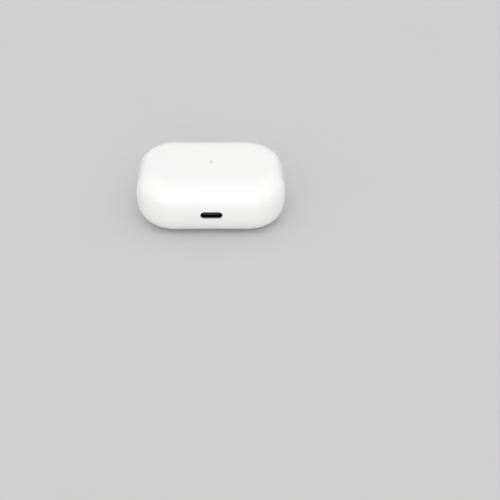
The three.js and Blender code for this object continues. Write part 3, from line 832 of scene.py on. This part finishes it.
def make_shells():
    """The two mouldings, with the openings for the port, the button, the light and the hinge."""
    port_low, port_high = node_box("port_shell")
    button_low, button_high = node_box("pairing_button")
    light_low, light_high = node_box("status_light_pipe")
    cover_low, cover_high = node_box("hinge_cover")
    button = ((button_low.x + button_high.x) / 2, (button_low.y + button_high.y) / 2)
    light = ((light_low.x + light_high.x) / 2, (light_low.y + light_high.y) / 2)
    cover_y = (cover_low.y + cover_high.y) / 2
    port_width = port_high.x - port_low.x + PORT_ROOM[0]
    port_height = port_high.z - port_low.z + PORT_ROOM[1]

    body = piece("body_shell_moulding", *half_shell(-1), None, SHELL, None)
    combine(body, [cutter(*screw_post(side * POST_X, POST_Y)) for side in (-1, 1)], "UNION")
    end, front = -HALF_Y, 2 * HALF_Z
    tools = [
        *[cutter(*rod(POST_HOLE, 10, 14, (side * POST_X, POST_Y, 0))) for side in (-1, 1)],
        cutter(*along_y(flared(
            lambda grow: oblong(port_width + 2 * grow, port_height + 2 * grow),
            end, end + PORT_CUT, PORT_LIP, end,
        ), 0, MID_Z)),
        cutter(*along_z(flared(circle(BUTTON_HOLE, 72), 0, WALL + 0.4, 0.12, 0.0), *button)),
        cutter(*along_z(flared(circle(LIGHT_HOLE, 32), front - 3, front, 0.05, front), *light)),
        cutter(*along_z(flared(
            plate_outline(cover_low, cover_high, COVER_CORNER, 6, COVER_ROOM), 0, COVER_DEPTH, 0.06, 0.0,
        ), 0, cover_y)),
        *knuckle_room(-HINGE_HALF, -BODY_KNUCKLE_START, -1),
        *knuckle_room(BODY_KNUCKLE_START, HINGE_HALF, -1),
        cutter(*rod(GROOVE, -HINGE_HALF, HINGE_HALF, (0, SEAM_Y, HINGE_Z), "X", 40)),
    ]
    combine(body, tools)
    lid = piece("lid_shell_moulding", *half_shell(1), None, SHELL, None)
    combine(lid, knuckle_room(-LID_KNUCKLE_HALF, LID_KNUCKLE_HALF, 1))
    for obj, rides, node in ((body, "case_body", "body_shell"), (lid, "lid", "lid_shell")):
        obj.data.shade_smooth()
        obj.data.set_sharp_from_angle(angle=math.radians(30))
        true_normals(obj)
        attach(obj, rides)
        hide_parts(node)


# ------------------------------------------------------------------ everything else

LOOKS = {
    "shell_white": SHELL, "lining_white": LINING, "hinge_steel": HINGE_STEEL, "port_steel": PORT_STEEL,
    "dark_plastic": BLACK_PLASTIC, "black_rubber": RUBBER, "amber_flex": AMBER, "copper": COPPER,
    "ferrite": FERRITE, "green_board": BOARD, "nickel": NICKEL, "light_guide": LIGHT_GUIDE,
    "gold_contact": GOLD, "cell_foil": FOIL,
}


def model(node, shape, slot, body="case_body", material=None):
    """A finer form of one CAD node, which it stands for."""
    obj = piece(f"{node}_form", *shape, body, material or LOOKS[slot], slot, [node])
    even_shading(obj)
    return obj


def carved(node, shape, slot, tools, body="case_body", joined=(), edge=0.0, material=None):
    """The same, after other solids are joined to it and cut from it."""
    obj = piece(f"{node}_form", *shape, body, material or LOOKS[slot], slot, [node])
    if joined:
        combine(obj, [cutter(*shape) for shape in joined], "UNION")
    if tools:
        combine(obj, [cutter(*shape) for shape in tools])
    if edge:
        soften(obj, edge)
    even_shading(obj)
    return obj


def middle(node):
    low, high = node_box(node)
    return (low + high) / 2


def section(y, inset):
    """The pebble's cross-section at a Y, drawn in by an inset, as a loop of (x, z)."""
    side = []
    for height, drawn in levels(HALF_Z - inset):
        radius = CORNER_RADIUS - inset - drawn
        t = min(max((y - HALF_Y + CORNER_RADIUS) / radius, 0.0), 1.0)
        reach = HALF_X - CORNER_RADIUS + radius * (1 - t ** CORNER_POWER) ** (1 / CORNER_POWER)
        side.append((reach, MID_Z + height))
    return side + [(-x, z) for x, z in reversed(side)]


def head_form(x, mouth, end, grow=0.0, lip=None, flare=0.0):
    """The rounded pocket of an earbud's head, which may flare out to a rounded lip at a Y."""
    def ring(y, wider):
        along = min(max((y - mouth) / (end - mouth), 0.0), 1.0)
        narrow = max(1 - along ** HEAD_POWER, 0.0) ** (1 / HEAD_POWER)
        return [
            (
                x + ((HEAD_HALF_X + grow) * narrow + wider) * math.cos(2 * math.pi * k / 96),
                y,
                MID_Z + ((HEAD_HALF_Z + grow) * narrow + wider) * math.sin(2 * math.pi * k / 96),
            )
            for k in range(96)
        ]

    toward = 1 if end > mouth else -1
    stops = [(mouth, flare)]
    if lip is not None:
        stops.append((lip, flare))
        for k in range(1, 7):
            angle = math.pi / 2 * k / 6
            stops.append((lip + toward * flare * math.sin(angle), flare * (1 - math.cos(angle))))
    start = stops[-1][0]
    for k in range(1, 25):
        share = math.sin(math.pi / 2 * k / 24.3)
        stops.append((start + (end - start) * share, 0.0))
    return loft([ring(y, wider) for y, wider in stops])


def stem_form(x, grow=0.0, floor=None, top=None):
    """A round well for an earbud's stem, with a rounded floor."""
    radius = STEM_RADIUS + grow
    profile = [(0, floor), (radius, floor), (radius, top), (0, top)]
    return turned(rounded_profile(profile, STEM_FILLET + grow, 6), (x, 0, MID_Z), "Y", 96)


def make_linings():
    """The tray that the earbuds stand in, and the lid's lining over them."""
    for node, (body, near, far, mouth, end, leaf_half) in LININGS.items():
        facing = 1 if far < SEAM_Y else -1
        rings = [(near, 0.0)]
        for k in range(6):
            angle = math.pi / 2 * k / 5
            rings.append((
                far - facing * LINING_EDGE * (1 - math.sin(angle)), LINING_EDGE * (1 - math.cos(angle)),
            ))
        plate = [[(x, y, z) for x, z in section(y, LINING_INSET + inset)] for y, inset in rings]
        joined, tools = [], []
        for side in (-1, 1):
            joined.append(head_form(side * HEAD_X, near + facing, end - facing * HEAD_SKIN, HEAD_SKIN))
            tools.append(head_form(side * HEAD_X, mouth, end, 0.0, far, HEAD_LIP))
            if facing > 0:
                x = side * STEM_X
                joined.append(stem_form(x, STEM_SKIN, STEM_FLOOR - 0.9, near + 1))
                tools.append(stem_form(x, 0.0, STEM_FLOOR, near + 1))
                low, high = STEM_FLOOR - 2.5, STEM_FLOOR + 1
                hole = [
                    (0, low), (PIN_HOLE, low), (PIN_HOLE, STEM_FLOOR - 0.1),
                    (PIN_HOLE_MOUTH, STEM_FLOOR + 0.05), (PIN_HOLE_MOUTH, high), (0, high),
                ]
                for t in (-1, 1):
                    tools.append(turned(hole, (x, 0, MID_Z + t * PIN_SPREAD), "Y", 40))
        tools.append(box_points((-leaf_half, -40, -5), (leaf_half, 40, LEAF_ROOM)))
        carved(node, loft(plate), "lining_white", tools, body, joined)


def make_hinge():
    """The pin, the two leaves with their knuckles round it, and the cover over it."""
    pin = [(0, -HINGE_HALF), (HINGE_PIN, -HINGE_HALF), (HINGE_PIN, HINGE_HALF), (0, HINGE_HALF)]
    axis = (0, SEAM_Y, HINGE_Z)
    model("hinge_pin", turned(rounded_profile(pin, 0.12), axis, "X", 40), "hinge_steel", material=PIN_STEEL)

    def knuckle(x0, x1, side):
        """A barrel, flattened where it would come out of the case's back, and its web to the leaf."""
        ring = []
        for k in range(48):
            angle = 2 * math.pi * k / 48
            ring.append((SEAM_Y + BEAD * math.cos(angle), max(HINGE_Z + BEAD * math.sin(angle), 0.02)))
        ends = sorted((SEAM_Y + side * 0.05, SEAM_Y + side * WEB))
        barrel = loft([[(x, y, z) for y, z in ring] for x in (x0, x1)])
        return [barrel, box_points((x0, ends[0], HINGE_Z), (x1, ends[1], LEAF_TOP - 0.01))]

    low, high = node_box("hinge_body_leaf")
    for node, body, half, y0, y1, z0, knuckles, (screw_x, screw_y) in (
        ("hinge_body_leaf", "case_body", HINGE_HALF, low.y, SEAM_Y - BODY_LEAF_GAP, LEAF_LOW,
         knuckle(-HINGE_HALF, -BODY_KNUCKLE_START, -1) + knuckle(BODY_KNUCKLE_START, HINGE_HALF, -1),
         BODY_SCREW),
        ("hinge_lid_leaf", "lid", LID_LEAF_HALF, SEAM_Y + LID_LEAF_GAP, LID_LEAF_END,
         LEAF_LOW + LID_LEAF_LIFT,
         knuckle(-LID_KNUCKLE_HALF, LID_KNUCKLE_HALF, 1), LID_SCREW),
    ):
        tools = [rod(HINGE_BORE, -20, 20, axis, "X", 40)]
        tools += [rod(LEAF_HOLE, -1, 5, (side * screw_x, screw_y, 0)) for side in (-1, 1)]
        leaf = box_points((-half, y0, z0), (half, y1, LEAF_TOP))
        carved(node, leaf, "hinge_steel", tools, body, knuckles, edge=0.05)

    model("hinge_cover", plate("hinge_cover", COVER_CORNER, 8, 0.08), "hinge_steel")


def make_screw(node, body, shaft, head, slot):
    """A pan-head screw with a thread and a cross recess, head up."""
    low, high = node_box(node)
    centre = middle(node)
    height = head / 2
    seat = high.z - height
    thread = [(0, low.z), (shaft * 0.6, low.z), (shaft * 0.8, low.z + 0.12)]
    z = low.z + THREAD
    while z < seat - 0.3:
        thread += [(shaft, z), (shaft * 0.82, z + THREAD / 2)]
        z += THREAD
    rim = rounded_profile([(head, seat), (head, high.z), (0.01, high.z)], height * 0.75, 5)
    profile = thread + [(shaft, seat - 0.1), (shaft, seat)] + rim
    shape = turned(profile, (centre.x, centre.y, 0), "Z", 48)
    long, wide, depth = head * 0.55, head * 0.13, height * 0.6
    tools = [
        box_points((centre.x - u, centre.y - v, high.z - depth), (centre.x + u, centre.y + v, high.z + 1))
        for u, v in ((long, wide), (wide, long))
    ]
    carved(node, shape, slot, tools, body, material=SCREW_STEEL)


def make_port():
    """The port's steel shell, the tongue with its contacts, the seal round it and the bracket behind."""
    low, high = node_box("port_shell")
    width, height = high.x - low.x, high.z - low.z
    rim = rounded_loop([(0, low.y), (0, high.y), (-PORT_WALL, high.y), (-PORT_WALL, low.y)], 0.08)

    def at(grow, y, width=width, height=height):
        return [(x, y, MID_Z + z) for x, z in oblong(width + 2 * grow, height + 2 * grow)]

    model("port_shell", loft([at(grow, y) for grow, y in rim], wrap=True), "port_steel")
    tongue_low, tongue_high = node_box("port_tongue")
    tongue = bevelled_box(
        (-TONGUE_HALF, tongue_low.y, MID_Z - TONGUE_THICK / 2),
        (TONGUE_HALF, TONGUE_BACK, MID_Z + TONGUE_THICK / 2), 0.12,
    )
    base_width, base_height = tongue_high.x - tongue_low.x, tongue_high.z - tongue_low.z
    base = along_y(edged_prism(
        lambda grow: oblong(base_width + 2 * grow, base_height + 2 * grow), TONGUE_BASE, tongue_high.y, 0.1,
    ), 0, MID_Z)
    carved("port_tongue", base, "dark_plastic", [], joined=[tongue])
    pads, faces = [], []
    for side in (-1, 1):
        for k in range(CONTACTS):
            x, z = (k - (CONTACTS - 1) / 2) * CONTACT_PITCH, MID_Z + side * TONGUE_THICK / 2
            points, quads = box_points(
                (x - CONTACT_HALF, CONTACT_ENDS[0], z - CONTACT_PROUD),
                (x + CONTACT_HALF, CONTACT_ENDS[1], z + CONTACT_PROUD),
            )
            faces += [tuple(i + len(pads) for i in quad) for quad in quads]
            pads += points
    piece("port_contacts", pads, faces, "case_body", GOLD, "gold_contact")

    low, high = node_box("port_gasket")
    band = rounded_loop([(0, low.y), (0, high.y), (-SEAL_WALL, high.y), (-SEAL_WALL, low.y)], 0.2)
    model("port_gasket", loft([
        at(grow, y, high.x - low.x, high.z - low.z) for grow, y in band
    ], wrap=True), "black_rubber")
    holes = [rod(POST_HOLE, 10, 15, (side * POST_X, POST_Y, 0), "Z", 40) for side in (-1, 1)]
    carved("port_bracket", plate("port_bracket", 0.8, 6, 0.06), "port_steel", holes)


def make_button():
    """The pairing button with its seal and switch, and the charging coil and ferrite round them."""
    x, y, _ = middle("pairing_button")
    low, high = node_box("pairing_button")
    cap = rounded_profile([
        *[(radius, low.z + depth) for radius, depth in BUTTON_DISH], (BUTTON_RADIUS, low.z),
        (BUTTON_RADIUS, FLANGE_LOW), (FLANGE, FLANGE_LOW), (FLANGE, FLANGE_TOP), (BUTTON_FOOT, FLANGE_TOP),
        (BUTTON_FOOT, high.z), (0.01, high.z),
    ], 0.16, 4)
    model("pairing_button", turned(cap, (x, y, 0), "Z", 96), "shell_white", "pairing_button")
    model("button_gasket", washer(*BUTTON_SEAL, 0.1, (x, y, 0)), "black_rubber")
    low, high = node_box("pairing_switch")
    model("pairing_switch", bevelled_box(low, high, 0.15), "port_steel")
    inner, outer, bottom, top = COIL
    pitch = (outer - inner) / COIL_TURNS
    upper, lower = [], []
    for k in range(COIL_TURNS):
        for step in range(1, 6):
            angle = math.pi * step / 6
            r = inner + (k + 0.5) * pitch - pitch / 2 * math.cos(angle)
            lift = (top - bottom) / 2 * math.sin(angle) ** 0.6
            upper.append((r, (top + bottom) / 2 + lift))
            lower.append((r, (top + bottom) / 2 - lift))
    coil = turned(lower + list(reversed(upper)), (x, y, 0), "Z", 128, wrap=True)
    model("charging_coil", coil, "copper")
    model("ferrite_sheet", washer(*FERRITE_RING, 0.08, (x, y, 0)), "ferrite")


def make_pins():
    """The four sprung contacts and the two blocks that they slide in."""
    for node in [n for n in BODY_OF if n.startswith("contact_pin")]:
        x, _, z = middle(node)
        low, high = node_box(node)
        profile = rounded_profile([
            (0.01, low.y), (PIN_RADIUS, low.y), (PIN_RADIUS, COLLAR_LOW), (COLLAR, COLLAR_LOW),
            (COLLAR, COLLAR_TOP), (PIN_TIP, COLLAR_TOP), (PIN_TIP, high.y - 0.15), (PIN_TIP / 2, high.y),
            (0.01, high.y),
        ], 0.14, 4)
        model(node, turned(profile, (x, 0, z), "Y", 40), "gold_contact", node)
    bore = [
        (0, BLOCK_BORE_END), (BLOCK_BORE, BLOCK_BORE_END), (BLOCK_BORE, BLOCK_TOP - 0.15),
        (BLOCK_BORE_MOUTH, BLOCK_TOP), (BLOCK_BORE_MOUTH, BLOCK_TOP + 1.45), (0, BLOCK_TOP + 1.45),
    ]
    for side in ("left", "right"):
        low, high = node_box(f"contact_block_{side}")
        x = (low.x + high.x) / 2
        bores = [turned(bore, (x, 0, MID_Z + t * PIN_SPREAD), "Y", 40) for t in (-1, 1)]
        carved(f"contact_block_{side}", bevelled_box(low, high, 0.25), "dark_plastic", bores)


def make_strip(node, path, width, plane):
    """A flat flexible cable along a bent path, its bends rounded."""
    line = [Vector(p) for p in rounded_profile(path, FLEX_BEND, 6)]
    clean = [line[0]] + [b for a, b in zip(line, line[1:]) if (b - a).length > 1e-3]
    left, right = [], []
    for i, point in enumerate(clean):
        ahead = (clean[min(i + 1, len(clean) - 1)] - clean[max(i - 1, 0)]).normalized()
        off = Vector((-ahead.y, ahead.x)) * FLEX / 2
        left.append(point + off)
        right.append(point - off)
    loop = left + right[::-1]
    centre = middle(node)
    if plane == "YZ":
        rings = [[(centre.x + x, u, v) for u, v in loop] for x in (-width / 2, width / 2)]
    else:
        rings = [[(u, centre.y + y, v) for u, v in loop] for y in (-width / 2, width / 2)]
    model(node, loft(rings), "amber_flex")


def make_strips():
    """Each strip's path, in the plane that it bends in, and its width."""
    for name, side in (("left", -1), ("right", 1)):
        make_strip(f"contact_flex_{name}", [
            (BEHIND_BLOCK, MID_Z - 2), (BEHIND_BLOCK, 15.6), (-16, UNDER_BOARD),
        ], 4, "YZ")
        make_strip(f"battery_tab_{name}", [
            (side * 17, 16.3), (side * 13, 16.3), (side * 11.4, 16.8),
        ], 3, "XZ")
    make_strip("port_flex", [(-15.45, 10.9), (BEHIND_PORT, 10.9), (BEHIND_PORT, UNDER_BOARD)], 6, "YZ")
    make_strip("button_flex", [(-8.5, 3.75), (1.5, 3.75), (1.5, UNDER_BOARD)], 3.4, "YZ")


def make_lead():
    """The coil's two wires, twisted together, from the coil to the board."""
    stops = [Vector(stop) for stop in LEAD]
    stops = [2 * stops[0] - stops[1], *stops, 2 * stops[-1] - stops[-2]]
    path = []
    for a, b, c, d in zip(stops, stops[1:], stops[2:], stops[3:]):
        for k in range(LEAD_STEPS):
            t = k / LEAD_STEPS
            path.append(0.5 * (2 * b + (c - a) * t + (2 * a - 5 * b + 4 * c - d) * t ** 2
                               + (3 * b - a - 3 * c + d) * t ** 3))
    path.append(stops[-2])
    points, faces = [], []
    for phase in (0, math.pi):
        rings = []
        for i, here in enumerate(path):
            ahead = (path[min(i + 1, len(path) - 1)] - path[max(i - 1, 0)]).normalized()
            across = ahead.cross(Vector((0.2, 1, 0.1))).normalized()
            up = ahead.cross(across)
            angle = phase + 2 * math.pi * WIRE_TURNS * i / len(path)
            core = here + (across * math.cos(angle) + up * math.sin(angle)) * WIRE
            rings.append([core + across * u + up * v for u, v in circle(WIRE, 12)(0)])
        new_points, new_faces = loft(rings)
        faces += [tuple(i + len(points) for i in face) for face in new_faces]
        points += new_points
    model("coil_lead", (points, faces), "copper")


def make_board():
    """The board and what stands on it, the light with its guide, and the two batteries."""
    low, high = node_box("main_board")
    corners = [
        (low.x, low.y), (high.x, low.y), (high.x, BOARD_ARM_Y), (BOARD_STEM_HALF, BOARD_ARM_Y),
        (BOARD_STEM_HALF, high.y), (-BOARD_STEM_HALF, high.y), (-BOARD_STEM_HALF, BOARD_ARM_Y),
        (low.x, BOARD_ARM_Y),
    ]
    edge = rounded_loop(corners, BOARD_CORNER, 5)
    model("main_board", loft([[(x, y, z) for x, y in edge] for z in (low.z, high.z)]), "green_board")
    for node, slot, round_edge in (
        ("charge_controller", "nickel", 0.25), ("microcontroller", "dark_plastic", 0.1),
        ("board_inductor", "ferrite", 0.2), ("battery_connector", "dark_plastic", 0.12),
        ("hall_sensor", "dark_plastic", 0.08), ("status_led", "light_guide", 0.12),
    ):
        model(node, bevelled_box(*node_box(node), round_edge), slot)
    x, y, _ = middle("status_light_pipe")
    low, high = node_box("status_light_pipe")
    guide = rounded_profile([
        (0.01, low.z), (GUIDE_FOOT, low.z), (GUIDE_FOOT, GUIDE_COLLAR[1]), GUIDE_COLLAR,
        (GUIDE_COLLAR[0], GUIDE_TIP[1]), GUIDE_TIP, (GUIDE_TIP[0], high.z), (0.01, high.z),
    ], 0.08, 3)
    model("status_light_pipe", turned(guide, (x, y, 0), "Z", 40), "light_guide")
    for node in ("battery_left", "battery_right"):
        model(node, plate(node, 1.6, 8, 1.1, 6), "cell_foil")


def make_magnets():
    for node in [n for n in BODY_OF if "magnet" in n]:
        model(node, plate(node, 0.32, 5, 0.12), "nickel", BODY_OF[node])


def make_screws():
    for node in [n for n in BODY_OF if "screw" in n]:
        make_screw(node, BODY_OF[node], *SCREWS[node.split("_")[0]])


make_shells()
make_linings()
make_hinge()
make_screws()
make_port()
make_button()
make_pins()
make_strips()
make_lead()
make_board()
make_magnets()


# ------------------------------------------------------------------ camera, light and floor

# Broad soft lights far away: strength, spread, tilt from overhead, and turn about Z from the camera's side.
SUNS = {
    "soft_overhead": (0.09, 44.0, 13.0, 0.0),
    "front_fill": (0.24, 80.0, 78.0, -8.0),
    "front_wide": (0.2, 140.0, 80.0, 8.0),
    "left_fill": (0.1, 140.0, 82.0, -90.0),
    "right_fill": (0.1, 140.0, 82.0, 90.0),
    "back_fill": (0.08, 140.0, 82.0, 180.0),
}
# The room is brighter overhead. The floor's grey is set so that it meets the room without a line.
ROOM = ((0.2, 0.62), (0.6, 0.73), (1.0, 0.73))
FLOOR = 0.6
FLOOR_REACH = 3.0   # metres

# The camera: its distance from the case's middle, how far it has climbed, and how it is turned there.
CAMERA_DISTANCE = 291.1
CAMERA_CLIMB = 32.85
CAMERA_PAN = 4.03
CAMERA_TILT = 38.19
CAMERA_ROLL = -2.29


def make_stage():
    """The plain floor, the room's light and the suns."""
    scene = bpy.context.scene
    scene.view_settings.view_transform = "Standard"
    floor_mesh = bpy.data.meshes.new("floor")
    corners = [(x * FLOOR_REACH, y * FLOOR_REACH, 0) for x, y in ((-1, -1), (1, -1), (1, 1), (-1, 1))]
    floor_mesh.from_pydata(corners, [], [(0, 1, 2, 3)])
    floor = bpy.data.objects.new("floor", floor_mesh)
    scene.collection.objects.link(floor)
    floor_mesh.materials.append(surface(
        "pale_floor", [FLOOR] * 3, [FLOOR - 0.01] * 3, (0.7, 0.8), blotch=8.0, specular=0.0,
    ))

    world = bpy.data.worlds.new("studio")
    world.use_nodes = True
    nodes, links = world.node_tree.nodes, world.node_tree.links
    height = nodes.new("ShaderNodeSeparateXYZ")
    links.new(nodes.new("ShaderNodeTexCoord").outputs["Generated"], height.inputs["Vector"])
    sky = nodes.new("ShaderNodeValToRGB")
    while len(sky.color_ramp.elements) < len(ROOM):
        sky.color_ramp.elements.new(0.5)
    for stop, (position, grey) in zip(sky.color_ramp.elements, ROOM):
        stop.position = position
        stop.color = (grey, grey, grey, 1)
    links.new(height.outputs["Z"], sky.inputs["Fac"])
    links.new(sky.outputs["Color"], nodes["Background"].inputs["Color"])
    nodes["Background"].inputs["Strength"].default_value = 1.0
    scene.world = world

    for name, (strength, spread, tilt, turn) in SUNS.items():
        light = bpy.data.lights.new(name, "SUN")
        light.energy = strength * math.pi
        light.angle = math.radians(spread)
        obj = bpy.data.objects.new(name, light)
        obj.rotation_euler = (math.radians(tilt), 0, math.radians(turn))
        scene.collection.objects.link(obj)


def make_camera():
    """A 50 mm lens a little under 0.3 m away, looking down at the case from its port end."""
    camera = bpy.data.cameras.new("camera")
    camera.lens = 50.0
    camera.sensor_width = 36.0
    camera.clip_start = 0.01
    obj = bpy.data.objects.new("camera", camera)
    bpy.context.scene.collection.objects.link(obj)
    distance, climb = CAMERA_DISTANCE * MM, math.radians(CAMERA_CLIMB)
    pan, tilt, roll = [math.radians(angle) for angle in (CAMERA_PAN, CAMERA_TILT, CAMERA_ROLL)]
    obj.location = (0, -distance * math.cos(climb), MID_Z * MM + distance * math.sin(climb))
    turn = Matrix.Rotation(-pan, 4, "Z")
    turn @= Matrix.Rotation(math.pi / 2 - tilt, 4, "X")
    turn @= Matrix.Rotation(-roll, 4, "Z")
    obj.rotation_euler = turn.to_euler()
    bpy.context.scene.camera = obj


make_stage()
make_camera()
